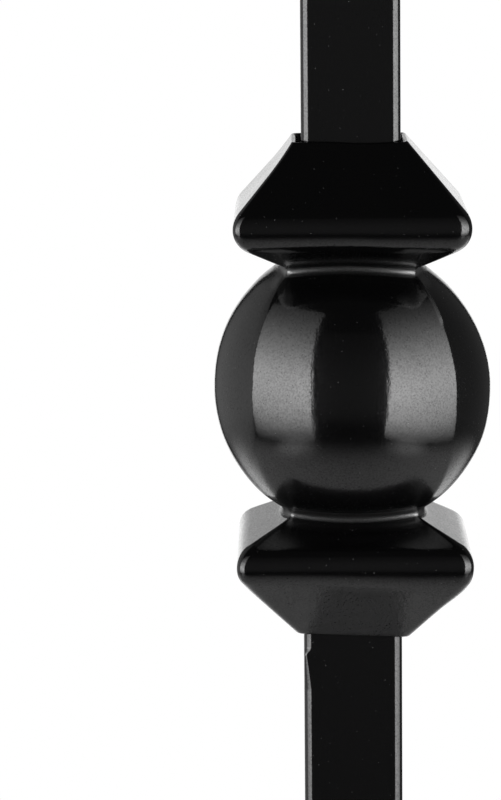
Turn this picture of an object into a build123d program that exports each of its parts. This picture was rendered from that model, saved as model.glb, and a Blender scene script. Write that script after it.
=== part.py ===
from build123d import *
import math
import os

# A stair baluster: one square bar with a turned dowel at its top, and a ball knuckle that
# slides over the bar. Millimetres, Z up, origin at the centre of the bar's foot. The four
# sides are alike, and the one towards -Y is called the front.

# Bar
bar_length = 1117.6
bar_width = 12.7
bar_arris_radius = 1.0

# Dowel at the top of the bar, for a round hole in the handrail
dowel_diameter = 11.5
dowel_length = 25.4
dowel_tip_bevel = 1.2
shoulder_cove_radius = 8.0

# Knuckle as a whole
ball_below_tip = 444.5
knuckle_height = 63.9
bore_clearance = 0.3

# Ball of four faces: each is part of a larger sphere, centred this far behind the ball's centre
ball_diameter = 36.1
ball_setback = 1.2

# Square collars above and below the ball, with slopes in degrees from level
collar_width = 30.0
collar_rim = 0.5
collar_nose_radius = 3.05
collar_outer_slope = 49.4
collar_ball_slope = 30.5
collar_hip_bevel = 0.5

# The metal that joins the collars through the ball, and its bevel where the ball starts
neck_wall = 0.55
neck_bevel = 0.5

# Worked out from the sizes above
dowel_radius = dowel_diameter / 2
knuckle_half = knuckle_height / 2
ball_radius = ball_diameter / 2
ball_centre_height = bar_length - ball_below_tip
bore_width = bar_width + 2 * bore_clearance
bore_corner_radius = bar_arris_radius + bore_clearance
neck_half = bore_width / 2 + neck_wall

# Two places closer than this are the same place
touching = 1e-4


def square_bar():
    """Rolled square bar, its top turned down to a round dowel above a coved shoulder."""
    section = RectangleRounded(bar_width, bar_width, bar_arris_radius)
    return extrude(section, bar_length) - turned_away()


def turned_away():
    """The ring of metal that turning takes off the top of the square bar."""
    cove_top = bar_length - dowel_length
    cove_reach = min(bar_width / math.sqrt(2) - dowel_radius, shoulder_cove_radius)
    cove_angle = math.acos(1 - cove_reach / shoulder_cove_radius)
    clear_of_bar = bar_width

    def on_cove(angle):
        return (dowel_radius + shoulder_cove_radius * (1 - math.cos(angle)),
                cove_top - shoulder_cove_radius * math.sin(angle))

    tip = (dowel_radius - dowel_tip_bevel, bar_length)
    bevel_foot = (dowel_radius, bar_length - dowel_tip_bevel)
    cove_foot = on_cove(cove_angle)
    with BuildSketch(Plane.XZ) as ring:
        with BuildLine():
            Polyline(tip, bevel_foot, on_cove(0))
            ThreePointArc(on_cove(0), on_cove(cove_angle / 2), cove_foot)
            Polyline(cove_foot, (clear_of_bar, cove_foot[1]), (clear_of_bar, bar_length), tip)
        make_face()
    return revolve(ring.sketch, Axis.Z)


def collar_outline():
    """Side view of the upper collar: outer slope, rounded nose, slope to the neck, and neck."""
    outer = math.radians(collar_outer_slope)
    inner = math.radians(collar_ball_slope)
    end_corner = (bore_width / 2 + collar_rim, knuckle_half)
    nose_x = collar_width / 2 - collar_nose_radius
    nose_drop = (collar_nose_radius + math.sin(outer) * (nose_x - end_corner[0])) / math.cos(outer)
    nose_z = knuckle_half - nose_drop

    def on_nose(angle):
        return (nose_x + collar_nose_radius * math.sin(angle),
                nose_z + collar_nose_radius * math.cos(angle))

    slope_foot = on_nose(outer)
    underside = on_nose(math.pi - inner)
    neck_top = (neck_half, underside[1] - (underside[0] - neck_half) * math.tan(inner))
    with BuildSketch(Plane.XZ) as side:
        with BuildLine():
            Polyline((0, knuckle_half), end_corner, slope_foot)
            ThreePointArc(slope_foot, on_nose(math.pi / 2), underside)
            Polyline(underside, neck_top, (neck_half, 0), (0, 0), (0, knuckle_half))
        make_face()
        mirror(about=Plane.YZ)
    return side.sketch


def upper_collar():
    """Square collar that has the same outline from the front and from the side."""
    seen_from_front = extrude(collar_outline(), collar_width, both=True)
    collar = seen_from_front & seen_from_front.rotate(Axis.Z, 90)
    return chamfer(collar.edges().filter_by(runs_down_a_hip), collar_hip_bevel)


def runs_down_a_hip(edge):
    """True for an edge that climbs along one of the two upright diagonal planes."""
    start = edge @ 0
    end = edge @ 1
    climbs = abs(start.Z - end.Z) > touching
    return climbs and all(abs(abs(p.X) - abs(p.Y)) < touching for p in (start, end))


def ball_quarter():
    """The quarter of the ball towards +X, between the two upright diagonal planes."""
    face_radius = ball_radius + ball_setback
    wedge = Polygon((0, 0), (face_radius, -face_radius), (face_radius, face_radius), align=None)
    face = Sphere(face_radius).moved(Location((-ball_setback, 0, 0)))
    return face & extrude(wedge, face_radius, both=True)


def four_faced_ball():
    """Ball of four gently crowned faces that meet in soft upright ridges."""
    quarter = ball_quarter()
    ball = quarter
    for turn in (90, 180, 270):
        ball += quarter.rotate(Axis.Z, turn)
    return ball


def ball_knuckle():
    """Collar, ball and collar in one piece, bevelled where they meet, with a square bore."""
    ball = four_faced_ball()
    upper = upper_collar()
    lower = upper.mirror(Plane.XY)
    body = ball + upper + lower
    body = chamfer(new_edges(ball, upper, lower, combined=body), neck_bevel)
    bore = RectangleRounded(bore_width, bore_width, bore_corner_radius)
    body -= extrude(bore, knuckle_half, both=True)
    return body.moved(Location((0, 0, ball_centre_height)))


os.makedirs("parts", exist_ok=True)
export_step(square_bar(), "parts/square_bar.step")
export_step(ball_knuckle(), "parts/ball_knuckle.step")
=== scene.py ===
import bmesh
import bpy
import math
from mathutils import Matrix, Vector


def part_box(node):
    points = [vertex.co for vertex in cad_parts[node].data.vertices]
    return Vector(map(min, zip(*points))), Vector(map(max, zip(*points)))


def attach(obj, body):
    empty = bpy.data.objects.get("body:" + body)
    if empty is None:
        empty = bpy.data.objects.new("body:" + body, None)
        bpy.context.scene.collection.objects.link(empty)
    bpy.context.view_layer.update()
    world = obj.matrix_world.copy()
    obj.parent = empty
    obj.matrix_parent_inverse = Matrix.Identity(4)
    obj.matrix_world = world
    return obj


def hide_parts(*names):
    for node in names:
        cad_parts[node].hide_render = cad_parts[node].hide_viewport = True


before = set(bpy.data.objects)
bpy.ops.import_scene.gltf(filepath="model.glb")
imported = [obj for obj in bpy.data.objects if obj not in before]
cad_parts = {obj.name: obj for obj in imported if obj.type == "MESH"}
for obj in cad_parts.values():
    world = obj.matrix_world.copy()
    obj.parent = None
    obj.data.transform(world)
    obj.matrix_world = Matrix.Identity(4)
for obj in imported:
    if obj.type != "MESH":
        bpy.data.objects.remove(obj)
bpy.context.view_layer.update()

MM = 0.001
QUARTER = math.pi / 2

# The bar and the knuckle take their places from the frame
bar_low, bar_high = (Vector(corner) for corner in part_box("square_bar"))
knuckle_low, knuckle_high = (Vector(corner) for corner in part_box("ball_knuckle"))
ball_centre = (knuckle_low.z + knuckle_high.z) / 2

# Knuckle, in millimetres from the centre of the ball. A side of the ball is an arc when it is
# seen edge on, and it is crowned from one upright ridge to the next.
BALL_HALF = 17.93
BALL_ARC = 18.8
CROWN_RADIUS = 19.55
COLLAR_HALF = 15.08
RIM_HALF = 7.15
BORE_HALF = 6.65
BORE_BREAK = 0.12

# The two collars came out a little different
UPPER_COLLAR = {
    "height": 32.25, "rim_radius": 0.3, "nose_radius": 3.4, "cove_radius": 0.72,
    "outer_slope": math.radians(49.4), "ball_slope": math.radians(27.0),
}
LOWER_COLLAR = {
    "height": 31.42, "rim_radius": 0.68, "nose_radius": 3.05, "cove_radius": 0.9,
    "outer_slope": math.radians(48.2), "ball_slope": math.radians(30.5),
}

# Stations from the bore over the rim to the widest of the ball: the rows on each, and how round
# the upright corner is where it starts and where it ends
STATIONS = (
    ("bore", 3, 1.3, 1.3), ("break", 1, 1.3, 1.2), ("rim", 6, 1.2, 0.9), ("slope", 26, 0.9, 0.75),
    ("nose", 26, 0.75, 0.75), ("underside", 12, 0.5, 0.45), ("cove", 12, 0.45, 0.7),
    ("ball", 46, 0.7, 0.5),
)
WIDEST_ROUND = STATIONS[-1][3]

# Columns of faces on each side, and how strongly they crowd towards its two ridges
SIDE_COLUMNS = 40
CROWDING = QUARTER * 0.86

# How much rounder the noses came out at single corners. A corner is up or down, right or left,
# and back or front, each as 1 or -1.
NOSE_CORNERS = {
    (1, -1, -1): 0.65, (1, 1, -1): 1.3, (1, -1, 1): -0.3, (1, 1, 1): -0.3,
    (-1, -1, -1): 0.8, (-1, 1, -1): 0.9, (-1, -1, 1): 0.0, (-1, 1, 1): 1.7,
}

# The ball's ridges came out sharper at the right (1) and softer at the left (-1)
RIDGE_ROUNDNESS = {1: 0.6, -1: 1.8}

# A thin bead of metal on the front right ridge: how far it stands out, the heights where it
# starts and ends, the lengths over which it grows and dies away, and how much it dulls the coat
BEAD_STANDS_OUT = 0.17
BEAD_LOW = 9.2
BEAD_HIGH = 16.9
BEAD_GROWS = 1.0
BEAD_DIES = 1.2
BEAD_DULLNESS = 6
ON_THE_RIDGE = 0.05

# Where the coat came out dull, in shares of a station. It sets in over the first part of each
# cove and clears on the ball right beside it.
COVE_DULLS_OVER = 0.45
BALL_CLEARS_OVER = 0.03

# The ball's underside stays half dull further up: where it starts to clear, and over how much
UNDERSIDE_DULLNESS = 0.4
UNDERSIDE_CLEARS = (0.22, 0.35)

# The tops of the ball's two flanks are dull towards the front. Frontward is 0 in the middle of
# a flank and 1 at its front ridge: where that sets in, and over how much.
FLANK_CLEARS_OVER = 0.26
FLANK_DULLS = (0.3, 0.5)
JUST_PAST_RIDGE = 1.001

# Bar, in millimetres
BAR_HALF = 6.35
ARRIS_RADIUS = 1.2
DOWEL_RADIUS = 5.75
DOWEL_LENGTH = 25.4
TIP_BEVEL = 1.2
TIP_EASE = 0.1
SHOULDER_COVE = 8.0
FOOT_BREAK = 0.25
ARRIS_STEPS = 10
SIDE_CUTS = 7
COVE_STEPS = 14

# The front left arris is pinched sharper just below the knuckle: how far below the ball that
# is, how sharp, how it comes in above and dies away below, and the rings that carry it
PINCH_BELOW_BALL = 34.4
PINCH_SHARPNESS = 0.66
PINCH_COMES_IN = 1.0
PINCH_DIES = 4.6
PINCH_TAPER = 0.9
PINCH_RINGS_BELOW = 5.2
PINCH_RINGS = 46
RING_GAP = 0.15

# Two plain rings on the long runs of the bar, as shares of its length
LOW_RING = 0.3
HIGH_RING = 0.75

# Powder coat: how fine each pattern is, in waves to the metre, and how deep it lies
GRAIN, GRAIN_DEPTH = 4600.0, 0.005 * MM
PEEL, PEEL_DEPTH = 900.0, 0.012 * MM
UPRIGHT_MARKS, UPRIGHT_DEPTH = 1500.0, 0.012 * MM
LEANING_MARKS, LEANING_DEPTH = 2200.0, 0.01 * MM
CLOUD = 160.0

# Specks of dust: cells to the metre, the speck's size in its cell, and the cells left clean
DUST_CELLS = 1150.0
SPECK_SIZE = 0.055
CLEAN_CELLS = 0.2
COAT_BLACK = (0.0006, 0.0006, 0.00065, 1)
DUST_GREY = (0.08, 0.08, 0.08, 1)

# Roughness of the skin on each piece, and the dullness from which on the coat has pooled
CAST_ROUGHNESS = 0.075
ROLLED_ROUGHNESS = 0.1
POOLS_FROM = 0.45
POOL_GLOSS = 1.8

# Floor of the room, in metres
FLOOR_CENTRE = (0.0, 0.45, 0.0)
FLOOR_RADIUS = 2.3
FLOOR_GREY = (0.41, 0.41, 0.41, 1)
CARD_RADIUS = 0.45

# Camera: its place in millimetres from the ball's centre, and its angles in degrees
CAMERA_PLACE = (-7.467, -508.4, 75.9)
CAMERA_YAW = -0.635
CAMERA_DOWN = 8.694
CAMERA_ROLL = -0.486
FOCAL_LENGTH = 178.15


# Curves that fade a change in or out

def held(value):
    return min(max(value, 0.0), 1.0)


def eased(value):
    """Climbs smoothly from 0 at 0 to 1 at 1."""
    return held(value)**2 * (3 - 2 * held(value))


def rising(value, start, run):
    """0 up to the start, then climbs to 1 over the run."""
    return eased((value - start) / run)


def falling(value, end, run):
    """Comes down over the run to 0 at the end."""
    return eased((end - value) / run)


def swell(value, middle, width):
    """1 at the middle, fading over the width to either side."""
    return math.exp(-((value - middle) / width)**2)


def sign(value):
    return 1 if value > 0 else -1


# Knuckle: one side seen edge on

def along_arc(centre, radius, start, end, share):
    angle = start + (end - start) * share
    return (centre[0] + radius * math.cos(angle), centre[1] + radius * math.sin(angle))


def along_line(start, end, share):
    return tuple(a + (b - a) * share for a, b in zip(start, end))


class Side:
    """Outline of the upper or lower half of a knuckle side, as distance out and height.

    The ball is crowned, so the outline of the ball and of the cove depends on aside, which is
    how far from the middle of the side it is taken.
    """

    def __init__(self, height, rim_radius, nose_radius, cove_radius, outer_slope, ball_slope):
        self.height = height
        self.rim_radius = rim_radius
        self.nose_radius = nose_radius
        self.cove_radius = cove_radius
        self.outer_slope = outer_slope
        self.ball_slope = ball_slope
        nose_x = COLLAR_HALF - nose_radius
        drop = nose_radius + math.sin(outer_slope) * (nose_x - RIM_HALF)
        self.nose = (nose_x, height - drop / math.cos(outer_slope))
        back = rim_radius * math.tan(outer_slope / 2)
        self.rim = (RIM_HALF - back, height - rim_radius)
        self.slope_top = self.on_rim(1)
        self.slope_foot = self.on_nose(0)
        self.underside = self.on_nose(1)

    def on_rim(self, share):
        return along_arc(self.rim, self.rim_radius, QUARTER, QUARTER - self.outer_slope, share)

    def on_nose(self, share):
        start, end = QUARTER - self.outer_slope, self.ball_slope - QUARTER
        return along_arc(self.nose, self.nose_radius, start, end, share)

    def cove(self, aside):
        """Centre of the ball's arc, and of the cove between it and the collar's underside."""
        crown = math.sqrt(CROWN_RADIUS**2 - aside**2) - CROWN_RADIUS + BALL_HALF - BALL_ARC
        outward = (math.sin(self.ball_slope), -math.cos(self.ball_slope))
        inward = (-math.cos(self.ball_slope), -math.sin(self.ball_slope))
        start = [p + self.cove_radius * n for p, n in zip(self.underside, outward)]
        from_ball = (start[0] - crown, start[1])
        reach = BALL_ARC + self.cove_radius
        half = from_ball[0] * inward[0] + from_ball[1] * inward[1]
        rest = from_ball[0]**2 + from_ball[1]**2 - reach**2
        run = -half - math.sqrt(max(half**2 - rest, 0))
        return crown, tuple(p + run * d for p, d in zip(start, inward))

    def point(self, station, share, aside):
        if station == "bore":
            return (BORE_HALF, (self.height - BORE_BREAK) * share)
        if station == "break":
            start = (BORE_HALF, self.height - BORE_BREAK)
            return along_line(start, (BORE_HALF + BORE_BREAK, self.height), share)
        if station == "rim":
            return self.on_rim(share)
        if station == "slope":
            return along_line(self.slope_top, self.slope_foot, share)
        if station == "nose":
            return self.on_nose(share)
        crown, cove = self.cove(aside)
        on_ball = math.atan2(cove[1], cove[0] - crown)
        cove_start = QUARTER + self.ball_slope
        if station == "underside":
            end = along_arc(cove, self.cove_radius, cove_start, 0, 0)
            return along_line(self.underside, end, share)
        if station == "cove":
            return along_arc(cove, self.cove_radius, cove_start, on_ball + math.pi, share)
        return along_arc((crown, 0), BALL_ARC, on_ball, 0, share)


def half_rows():
    """Every row of one half: the station, how far along it, and the corner's roundness."""
    rows = []
    for station, steps, first, last in STATIONS:
        for step in range(steps):
            share = step / steps
            rows.append((station, share, first + (last - first) * share))
    return rows


def knuckle_rows():
    """All rows, from the middle of the bore over the top to the ball and on round the bottom."""
    upper, lower = Side(**UPPER_COLLAR), Side(**LOWER_COLLAR)
    rows = [(upper, 1, *row) for row in half_rows()]
    rows.append((upper, 1, "ball", 1.0, WIDEST_ROUND))
    rows += [(lower, -1, *row) for row in reversed(half_rows())][:-1]
    return rows


# Knuckle: what makes this casting differ from its own plain form

def crowded(share):
    """Puts more columns towards the two ridges of a side."""
    return math.copysign(math.sin(abs(share) * CROWDING) / math.sin(CROWDING), share)


def corner_round(base, station, share, corner):
    """How round an upright corner is: the noses rounder, and the ball's ridges not all alike."""
    nearness = {"slope": share**3, "nose": 1.0, "underside": (1 - share)**2}.get(station, 0.0)
    if station == "ball":
        base *= RIDGE_ROUNDNESS[corner[1]]
    return base + NOSE_CORNERS[corner] * nearness


def recess(station, share, up, flat):
    """How dull the coat is, from 0 to 1: in the coves, and on the ball near them."""
    if station == "cove":
        return eased(share / COVE_DULLS_OVER)
    if station != "ball":
        return 0.0
    beside_cove = 1 - eased(share / BALL_CLEARS_OVER)
    if up < 0:
        return max(beside_cove, UNDERSIDE_DULLNESS * (1 - rising(share, *UNDERSIDE_CLEARS)))
    frontward = -flat.y / max(abs(flat.x), 1)
    if frontward >= JUST_PAST_RIDGE:
        return beside_cove
    flank_top = 1 - eased(share / FLANK_CLEARS_OVER)
    return max(beside_cove, flank_top * rising(frontward, *FLANK_DULLS))


def bead_height(up, flat, height):
    """How far the bead stands out here, on the upper half of the front right ridge."""
    if up < 0 or flat.x < 0 or flat.y > 0:
        return 0.0
    return (BEAD_STANDS_OUT * rising(height, BEAD_LOW, BEAD_GROWS)
            * falling(height, BEAD_HIGH, BEAD_DIES))


def uneven(place):
    """Moves a place by what this casting departs from its own square form, in millimetres."""
    x, y, z = place
    if z < 0:
        # The lower half leans to the right as far as its collar
        place.x += 0.11 + 0.1 * rising(-z, 0, 8) - 0.21 * rising(-z, 21, 4)
        # The ball is thin just above the lower cove and full a little higher
        place.xy *= 1 - 0.05 * swell(z, -16, 1.6) + 0.006 * swell(z, -7, 3.5)
        # The back left of the lower collar sits higher
        left_back = max(-x, 0) / 15 * (y + 12) / 27
        place.z += 0.3 * left_back * rising(-z, 13, 3) * rising(z, -31, 9)
    else:
        # The upper half leans to the left, and its collar stands nearly straight again
        place.x += 0.11 - 0.26 * rising(z, 0, 13) + 0.2 * rising(z, 13, 7)
        # The crease below the upper collar falls a little towards the right
        crease = 0.16 * rising(x, -2, 8) - 0.12
        place.z -= crease * rising(z, 12.5, 1.8) * falling(z, 23.5, 4)
    if z > 28:
        # The rim spreads at its left end, and sags along its front
        place.x -= 0.42 * ((z - 28) / 4.25)**2 * held(-x / 6.6)
        place.z -= 0.25 * swell(x, 2, 4) * held(-y - 6) * held((z - 30.5) / 1.7)
    if z < -20:
        # The lower collar hangs lower at its right, and its nose reaches out there
        rightward = 1 + x / max(abs(x), 7.3)
        place.z -= 0.27 * rightward * rising(-z, 20.5, 4)
        place.x += 0.4 * swell(z, -24.4, 1.8) * held(x / 8)


def corner_of(side, station, share):
    """How far out the side reaches on the diagonal, and how it leans away there."""
    reach = side.point(station, share, 0)[0]
    for _ in range(24):
        reach = (reach + side.point(station, share, reach)[0]) / 2
    lean = 0.0
    if station in ("cove", "ball"):
        lean = math.asin(reach / CROWN_RADIUS)
        if station == "cove":
            lean *= share
    return reach, math.tan(QUARTER / 2 - lean)


def spin_rows(bm, row_of, count):
    """Spins a closed outline with a vertex for each row, whose shape doesn't matter yet."""
    outline = []
    for index in range(count):
        vert = bm.verts.new((20 + 10 * math.cos(index), 0, index))
        vert[row_of] = index
        outline.append(vert)
    edges = [bm.edges.new((a, b)) for a, b in zip(outline, outline[1:] + outline[:1])]
    bmesh.ops.spin(bm, geom=outline + edges, cent=(0, 0, 0), axis=(0, 0, 1),
                   angle=4 * QUARTER, steps=4 * SIDE_COLUMNS, use_merge=True)


def knuckle():
    """Turned as a round form, then each quarter pressed into a side of the square."""
    rows = knuckle_rows()
    bm = bmesh.new()
    row_of = bm.verts.layers.float.new("row")
    recess_of = bm.verts.layers.float.new("recess")
    spin_rows(bm, row_of, len(rows))
    corners = [corner_of(side, station, share) for side, _, station, share, _ in rows]
    for vert in bm.verts:
        index = round(vert[row_of])
        side, up, station, share, roundness = rows[index]
        reach, leaning = corners[index]
        angle = math.atan2(vert.co.y, vert.co.x) + QUARTER / 2
        quarter = math.floor(angle / QUARTER)
        turn = Matrix.Rotation(quarter * QUARTER, 3, "Z")
        aside = crowded(2 * (angle / QUARTER - quarter) - 1) * reach
        out, height = side.point(station, share, abs(aside))
        flat = turn @ Vector((out, aside, 0))
        corner = (up, sign(flat.x), sign(flat.y))
        roundness = corner_round(roundness, station, share, corner)
        gap = out - abs(aside)
        bead = 0.0
        if station == "ball" and gap < ON_THE_RIDGE:
            bead = bead_height(up, flat, height)
        if gap < roundness:
            inward = leaning * (roundness - gap)**2 / (4 * roundness)
            out -= inward - bead
            aside -= sign(aside) * (inward - bead)
        place = turn @ Vector((out, aside, up * height))
        uneven(place)
        vert.co = place
        vert[recess_of] = max(recess(station, share, up, flat), bead * BEAD_DULLNESS)
    return bm


# Bar

def square_ring(bm):
    """A flat square with rounded corners, its sides cut into short runs."""
    ring = bmesh.ops.create_circle(bm, cap_ends=True, segments=4, radius=BAR_HALF * math.sqrt(2),
                                   matrix=Matrix.Rotation(QUARTER / 2, 4, "Z"))
    bmesh.ops.bevel(bm, geom=ring["verts"], offset=ARRIS_RADIUS, offset_type="OFFSET",
                    segments=ARRIS_STEPS, profile=0.5, affect="VERTICES", material=-1)
    sides = [edge for edge in bm.edges if edge.calc_length() > BAR_HALF]
    bmesh.ops.subdivide_edges(bm, edges=sides, cuts=SIDE_CUTS)


def lifted(bm, rim):
    """Pulls a new ring of faces out of the rim and gives its new verts and edges."""
    made = bmesh.ops.extrude_edge_only(bm, edges=rim)["geom"]
    verts = [part for part in made if isinstance(part, bmesh.types.BMVert)]
    edges = [part for part in made if isinstance(part, bmesh.types.BMEdge) and part.is_boundary]
    return verts, edges


def bar():
    """Square bar with its top turned to a dowel above a coved shoulder."""
    length = (bar_high.z - bar_low.z) / MM
    pinch = ball_centre / MM - PINCH_BELOW_BALL
    lowest = pinch - PINCH_RINGS_BELOW
    levels = [FOOT_BREAK, length * LOW_RING]
    levels += [lowest + RING_GAP * step for step in range(PINCH_RINGS)]
    levels += [length * HIGH_RING]
    bm = bmesh.new()
    square_ring(bm)
    rim = list(bm.edges)
    for vert in bm.verts:
        vert.co.xy *= 1 - FOOT_BREAK / vert.co.xy.length
    for level in levels:
        verts, rim = lifted(bm, rim)
        for vert in verts:
            if level == FOOT_BREAK:
                vert.co.xy *= 1 + FOOT_BREAK / vert.co.xy.length
            vert.co.z = level
    rim = turned_shoulder(bm, rim, length - DOWEL_LENGTH)
    rim = turned_tip(bm, rim, length)
    bmesh.ops.contextual_create(bm, geom=rim)
    pinch_arris(bm, pinch)
    return bm


def turned_shoulder(bm, rim, cove_top):
    """The cove that takes the square bar in to the round dowel."""
    def cove_height(radius):
        leaning = math.acos(max(1 - (radius - DOWEL_RADIUS) / SHOULDER_COVE, -1))
        return cove_top - SHOULDER_COVE * math.sin(leaning)

    verts, rim = lifted(bm, rim)
    for vert in verts:
        vert.co.z = cove_height(vert.co.xy.length)
    for left in range(COVE_STEPS, 0, -1):
        verts, rim = lifted(bm, rim)
        for vert in verts:
            radius = vert.co.xy.length
            radius += (DOWEL_RADIUS - radius) / left
            vert.co.xy = vert.co.xy.normalized() * radius
            vert.co.z = cove_height(radius)
    return rim


def turned_tip(bm, rim, length):
    """The dowel's end: a bevel with its two edges eased."""
    profile = (
        (0, -TIP_BEVEL - TIP_EASE), (-TIP_EASE / 2, -TIP_BEVEL),
        (TIP_EASE / 2 - TIP_BEVEL, -TIP_EASE), (-TIP_EASE - TIP_BEVEL, 0),
    )
    for inset, drop in profile:
        verts, rim = lifted(bm, rim)
        for vert in verts:
            vert.co.xy = vert.co.xy.normalized() * (DOWEL_RADIUS + inset)
            vert.co.z = length + drop
    return rim


def pinch_arris(bm, pinch):
    """The front left arris is sharper for a few millimetres below the knuckle."""
    corner = ARRIS_RADIUS - BAR_HALF
    just_past = 0.001
    for vert in bm.verts:
        outward = vert.co.xy - Vector((corner, corner))
        if outward.x > just_past or outward.y > just_past:
            continue
        below = pinch - vert.co.z
        fullness = 1 - held(below / PINCH_DIES)**PINCH_TAPER
        if below < 0:
            fullness = eased(1 + below / PINCH_COMES_IN)
        radius = ARRIS_RADIUS * (1 - PINCH_SHARPNESS * fullness)
        inner = radius - BAR_HALF
        vert.co.xy = Vector((inner, inner)) + outward * radius / ARRIS_RADIUS


def finished(name, bm, lift, solid):
    """Makes the object of a shape drawn in millimetres and puts it in the CAD piece's place."""
    bm.normal_update()
    bmesh.ops.recalc_face_normals(bm, faces=bm.faces)
    bmesh.ops.scale(bm, vec=(MM, MM, MM), verts=bm.verts)
    bmesh.ops.translate(bm, vec=(0, 0, lift), verts=bm.verts)
    mesh = bpy.data.meshes.new(name)
    bm.to_mesh(mesh)
    bm.free()
    mesh.shade_smooth()
    piece = bpy.data.objects.new(name, mesh)
    bpy.context.scene.collection.objects.link(piece)
    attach(piece, "root")
    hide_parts(solid)
    return piece


# Shaders: sums in Python, and one method for every other node

class Term:
    """A shader socket that can stand in a Python sum."""

    def __init__(self, paint, socket):
        self.paint, self.socket = paint, socket

    def math(self, operation, first, second):
        node = self.paint.node("ShaderNodeMath", {"operation": operation}, {0: first, 1: second})
        return node["Value"]

    def __add__(self, other):
        return self.math("ADD", self, other)

    def __sub__(self, other):
        return self.math("SUBTRACT", self, other)

    def __rsub__(self, other):
        return self.math("SUBTRACT", other, self)

    def __mul__(self, other):
        return self.math("MULTIPLY", self, other)

    def __truediv__(self, other):
        return self.math("DIVIDE", self, other)

    def __rtruediv__(self, other):
        return self.math("DIVIDE", other, self)

    def __pow__(self, other):
        return self.math("POWER", self, other)

    def __gt__(self, other):
        return self.math("GREATER_THAN", self, other)

    def __lt__(self, other):
        return self.math("LESS_THAN", self, other)

    __radd__ = __add__
    __rmul__ = __mul__


class Paint:
    """One node tree, filled by a single method for every kind of node."""

    def __init__(self, tree):
        self.tree = tree
        tree.nodes.clear()

    def node(self, kind, settings=None, sockets=None):
        """Adds a node, with its settings made first, and gives its outputs by name."""
        made = self.tree.nodes.new(kind)
        for key, value in (settings or {}).items():
            setattr(made, key, value)
        named = {socket.name: socket for socket in made.inputs if socket.enabled}
        for key, value in (sockets or {}).items():
            socket = made.inputs[key] if isinstance(key, int) else named[key]
            if isinstance(value, Term):
                self.tree.links.new(value.socket, socket)
            else:
                socket.default_value = value
        return {socket.name: Term(self, socket) for socket in made.outputs if socket.enabled}


def noise(paint, where, scale, detail):
    sockets = {"Vector": where, "Scale": scale, "Detail": detail, "Roughness": 0.5}
    return paint.node("ShaderNodeTexNoise", {}, sockets)["Fac"]


def bumped(paint, height, distance, strength, normal=None):
    sockets = {"Strength": strength, "Distance": distance, "Height": height}
    if normal:
        sockets["Normal"] = normal
    return paint.node("ShaderNodeBump", {}, sockets)["Normal"]


def faded(paint, value, stretch, levels, kind="SMOOTHSTEP"):
    """Leads smoothly from the first level to the last, over this stretch of the value."""
    sockets = {
        "Value": value, "From Min": stretch[0], "From Max": stretch[1],
        "To Min": levels[0], "To Max": levels[1],
    }
    return paint.node("ShaderNodeMapRange", {"interpolation_type": kind}, sockets)["Result"]


def cast_marks(paint, where, normal):
    """Drawn-out brush marks of the casting pattern, upright and leaning."""
    upright = paint.node("ShaderNodeMapping", {}, {
        "Vector": where, "Scale": (1.0, 1.0, 0.14)})["Vector"]
    leaning = paint.node("ShaderNodeMapping", {}, {
        "Vector": where, "Rotation": (0.5, 0.6, 0.0), "Scale": (1.0, 1.0, 0.2)})["Vector"]
    marks = noise(paint, upright, UPRIGHT_MARKS, 2.0)
    normal = bumped(paint, marks, UPRIGHT_DEPTH, 0.5, normal)
    marks = noise(paint, leaning, LEANING_MARKS, 2.0)
    return bumped(paint, marks, LEANING_DEPTH, 0.5, normal)


def dusted_black(paint, where):
    """The coat's black, with a grey speck of dust in most cells of a fine pattern."""
    sockets = {"Vector": where, "Scale": DUST_CELLS}
    cells = paint.node("ShaderNodeTexVoronoi", {"feature": "F1"}, sockets)
    pick = paint.node("ShaderNodeSeparateColor", {}, {"Color": cells["Color"]})["Red"]
    dust = (cells["Distance"] < SPECK_SIZE) * (pick > CLEAN_CELLS) * pick
    sockets = {"Factor": dust, "A": COAT_BLACK, "B": DUST_GREY}
    return paint.node("ShaderNodeMix", {"data_type": "RGBA"}, sockets)["Result"]


def satin_black(cast):
    """Black powder coat: a glossy skin with fine pits, a soft orange peel and specks of dust."""
    material = bpy.data.materials.new("satin_black_cast" if cast else "satin_black_rolled")
    material.use_nodes = True
    paint = Paint(material.node_tree)
    where = paint.node("ShaderNodeTexCoord")["Object"]
    grain = noise(paint, where, GRAIN, 1.0)
    peel = noise(paint, where, PEEL, 2.0)
    cloud = noise(paint, where, CLOUD, 3.0)
    normal = bumped(paint, peel, PEEL_DEPTH, 0.5)
    if cast:
        normal = cast_marks(paint, where, normal)
    normal = bumped(paint, grain, GRAIN_DEPTH, 0.6, normal)
    colour = dusted_black(paint, where)
    roughness = cloud * 0.03 + (CAST_ROUGHNESS if cast else ROLLED_ROUGHNESS)
    pooled = 0.0
    if cast:
        # The coat is rough where it is dull, but shines again where it has pooled
        dull = paint.node("ShaderNodeAttribute", {"attribute_name": "recess"})["Fac"]
        roughness = roughness + dull * (grain * 0.3 + 0.15)
        pooled = (dull > POOLS_FROM) * (dull - POOLS_FROM) * POOL_GLOSS
    # Pits lie where the grain runs high, and more of them where the cloud does too
    pitted = grain * 1.4 - 0.55 + (cloud - 0.5) * 0.3
    skin = paint.node("ShaderNodeBsdfPrincipled", {}, {
        "Base Color": colour, "Roughness": roughness, "IOR": 1.5, "Normal": normal,
        "Coat Weight": pooled, "Coat Roughness": 0.2, "Coat IOR": 1.6})
    pits = paint.node("ShaderNodeBsdfPrincipled", {}, {
        "Base Color": colour, "Roughness": 0.3, "IOR": 1.5, "Specular IOR Level": 0.15,
        "Normal": normal})
    mixed = paint.node("ShaderNodeMixShader", {}, {"Fac": pitted, 1: skin["BSDF"], 2: pits["BSDF"]})
    paint.node("ShaderNodeOutputMaterial", {}, {"Surface": mixed["Shader"]})
    return material


# Room: a pale floor, two tall soft boxes, a pale backdrop, and dark elsewhere

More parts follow.
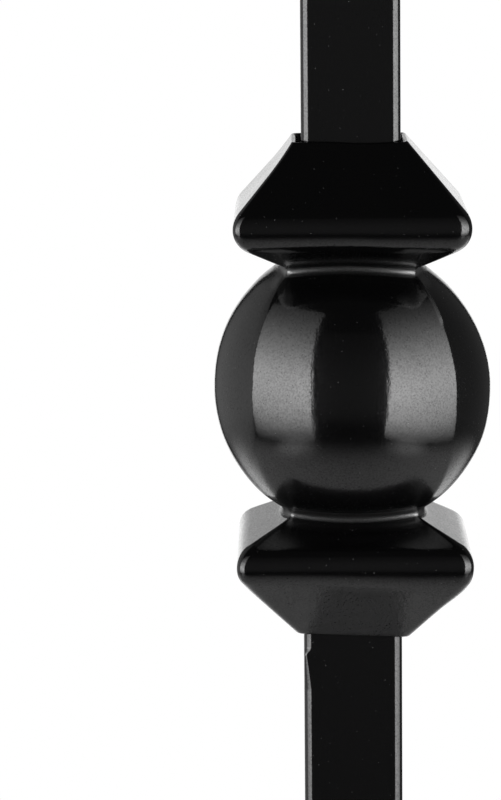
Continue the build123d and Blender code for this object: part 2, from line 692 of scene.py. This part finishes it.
def at(azimuth, distance, height):
    """A place seen from the ball: azimuth in degrees, 0 to the front and positive to the right."""
    turn = math.radians(azimuth)
    return Vector((distance * math.sin(turn), -distance * math.cos(turn), height))


def lamp(name, size, place, outward):
    """An area light of strength 1, its back to the outward side and unseen by the camera."""
    light = bpy.data.lights.new(name, "AREA")
    light.shape = "RECTANGLE"
    light.size, light.size_y = size
    light.energy = math.pi * size[0] * size[1]
    light.use_nodes = True
    made = bpy.data.objects.new(name, light)
    made.location = place
    made.rotation_euler = outward.to_track_quat("Z", "Y").to_euler()
    made.visible_camera = False
    bpy.context.scene.collection.objects.link(made)
    return made


def shines(paint, strength):
    emission = paint.node("ShaderNodeEmission", {}, {"Strength": strength})
    paint.node("ShaderNodeOutputLight", {}, {"Surface": emission["Emission"]})


def soft_box(name, facing, distance, sides, heights, peak, slant, centre, spread,
             falloff=1.0, lean=0.0):
    """An upright light: square to one azimuth, reaching from one azimuth to another.

    It is brightest at the height called centre and dims over the spread above and below it.
    Slant is how much brighter it gets towards the higher azimuth, and lean how many degrees its
    top leans that way.
    """
    first, last = (distance * math.tan(math.radians(side - facing)) for side in sides)
    across = at(facing + 90, 1, 0)
    outward = at(facing, 1, 0)
    middle = (first + last) / 2
    place = at(facing, distance, sum(heights) / 2) + across * middle
    box = lamp(name, (last - first, heights[1] - heights[0]), place, outward)
    box.rotation_euler.rotate_axis("Z", -math.radians(lean))
    paint = Paint(box.data.node_tree)
    spot = paint.node("ShaderNodeNewGeometry")["Position"]
    height = paint.node("ShaderNodeSeparateXYZ", {}, {"Vector": spot})["Z"]
    off = (height - centre) * (1 / spread)
    along = paint.node("ShaderNodeVectorMath", {"operation": "DOT_PRODUCT"}, {0: spot, 1: across})
    tilt = (along["Value"] - middle) * (2 * slant / (last - first)) + 1.0
    foot = faded(paint, height, (-0.1, 0.4), (0.0, 1.0))
    shines(paint, peak * tilt * foot / (off * off + 1.0)**falloff)


def floor_card(name, azimuth):
    """A white card that lies below a soft box, bright in its middle and dark at its rim."""
    place = at(azimuth, 0.95, 0.004)
    card = lamp(name, (2 * CARD_RADIUS, 2 * CARD_RADIUS), place, Vector((0, 0, -1)))
    card.data.shape = "DISK"
    paint = Paint(card.data.node_tree)
    spot = paint.node("ShaderNodeNewGeometry")["Position"]
    off = paint.node("ShaderNodeVectorMath", {"operation": "DISTANCE"}, {0: spot, 1: place})
    shines(paint, faded(paint, off["Value"], (0.0, 0.44), (0.95, 0.0), "SMOOTHERSTEP"))


def room():
    """All the lights, and the white that only the camera sees around the floor."""
    soft_box("soft_box_left", facing=-33.0, distance=1.0, sides=(-86.0, -31.0),
             heights=(0.01, 2.6), peak=7.7, slant=0.1, centre=ball_centre + 0.03, spread=0.49)
    soft_box("soft_box_right", facing=39.5, distance=1.0, sides=(29.5, 95.0),
             heights=(0.01, 2.6), peak=7.1, slant=-0.26, centre=ball_centre + 0.03, spread=0.66,
             falloff=1.5, lean=4.0)
    soft_box("wall_left", facing=-125.0, distance=1.2, sides=(-160.0, -88.0),
             heights=(0.02, 1.9), peak=0.58, slant=0.8, centre=0.45, spread=1.2)
    soft_box("wall_right", facing=125.0, distance=1.2, sides=(98.0, 160.0),
             heights=(0.02, 1.9), peak=0.07, slant=-0.5, centre=0.5, spread=1.2)
    soft_box("room_front", facing=0.0, distance=1.5, sides=(-26.0, 26.0),
             heights=(0.02, 2.4), peak=0.12, slant=0.0, centre=ball_centre + 0.06, spread=1.0)
    soft_box("backdrop", facing=180.0, distance=1.6, sides=(167.0, 193.0),
             heights=(0.02, 0.95), peak=1.35, slant=0.0, centre=0.45, spread=0.4)
    wash = lamp("floor_wash", (1.8, 0.5), (0, 1.05, 0.6), Vector((0, 0, 1)))
    wash.visible_glossy = False
    shines(Paint(wash.data.node_tree), 11.0)
    floor_card("floor_card_left", -50.0)
    floor_card("floor_card_right", 46.0)
    world = bpy.data.worlds.new("studio")
    bpy.context.scene.world = world
    world.use_nodes = True
    paint = Paint(world.node_tree)
    seen = paint.node("ShaderNodeLightPath")["Is Camera Ray"]
    sockets = {"Color": (1, 1, 1, 1), "Strength": seen * 0.97 + 0.03}
    glow = paint.node("ShaderNodeBackground", {}, sockets)
    paint.node("ShaderNodeOutputWorld", {}, {"Surface": glow["Background"]})


def floor():
    """A round pale floor that thins out towards its rim, further behind the bar than before it."""
    bm = bmesh.new()
    bmesh.ops.create_circle(bm, cap_ends=True, segments=96, radius=FLOOR_RADIUS,
                            matrix=Matrix.Translation(FLOOR_CENTRE))
    mesh = bpy.data.meshes.new("studio_floor")
    bm.to_mesh(mesh)
    bm.free()
    piece = bpy.data.objects.new("studio_floor", mesh)
    bpy.context.scene.collection.objects.link(piece)
    material = bpy.data.materials.new("pale_floor")
    material.use_nodes = True
    paint = Paint(material.node_tree)
    where = paint.node("ShaderNodeTexCoord")["Object"]
    squeezed = paint.node("ShaderNodeVectorMath", {"operation": "MULTIPLY"}, {
        0: where, 1: (0.75, 1, 1)})
    out = paint.node("ShaderNodeVectorMath", {"operation": "DISTANCE"}, {
        0: squeezed["Vector"], 1: FLOOR_CENTRE})
    cover = faded(paint, out["Value"], (0.7, 1.65), (1.0, 0.0))
    paper = paint.node("ShaderNodeBsdfPrincipled", {}, {
        "Base Color": FLOOR_GREY, "Roughness": 0.6, "Specular IOR Level": 0.2, "Alpha": cover})
    paint.node("ShaderNodeOutputMaterial", {}, {"Surface": paper["BSDF"]})
    mesh.materials.append(material)


def camera():
    """At the photograph's viewing angle: 508 mm off, a little above the ball and left of it."""
    angles = (CAMERA_YAW, CAMERA_DOWN, CAMERA_ROLL)
    yaw, down, roll = (math.radians(angle) for angle in angles)
    ahead = Vector((math.sin(yaw) * math.cos(down), math.cos(yaw) * math.cos(down), -math.sin(down)))
    level = Vector((math.cos(yaw), -math.sin(yaw), 0))
    above = level.cross(ahead)
    right = level * math.cos(roll) + above * math.sin(roll)
    up = above * math.cos(roll) - level * math.sin(roll)
    lens = bpy.data.cameras.new("camera")
    lens.lens = FOCAL_LENGTH
    lens.clip_start, lens.clip_end = 0.05, 60
    eye = bpy.data.objects.new("camera", lens)
    place = Vector(CAMERA_PLACE) * MM + Vector((0, 0, ball_centre))
    turned = Matrix((right, up, -ahead)).transposed().to_4x4()
    eye.matrix_world = Matrix.Translation(place) @ turned
    bpy.context.scene.collection.objects.link(eye)
    bpy.context.scene.camera = eye


turned_bar = finished("turned_bar", bar(), bar_low.z, "square_bar")
turned_bar.data.materials.append(satin_black(cast=False))
cast_knuckle = finished("cast_knuckle", knuckle(), ball_centre, "ball_knuckle")
cast_knuckle.data.materials.append(satin_black(cast=True))
room()
floor()
camera()
bpy.context.scene.view_settings.view_transform = "Standard"
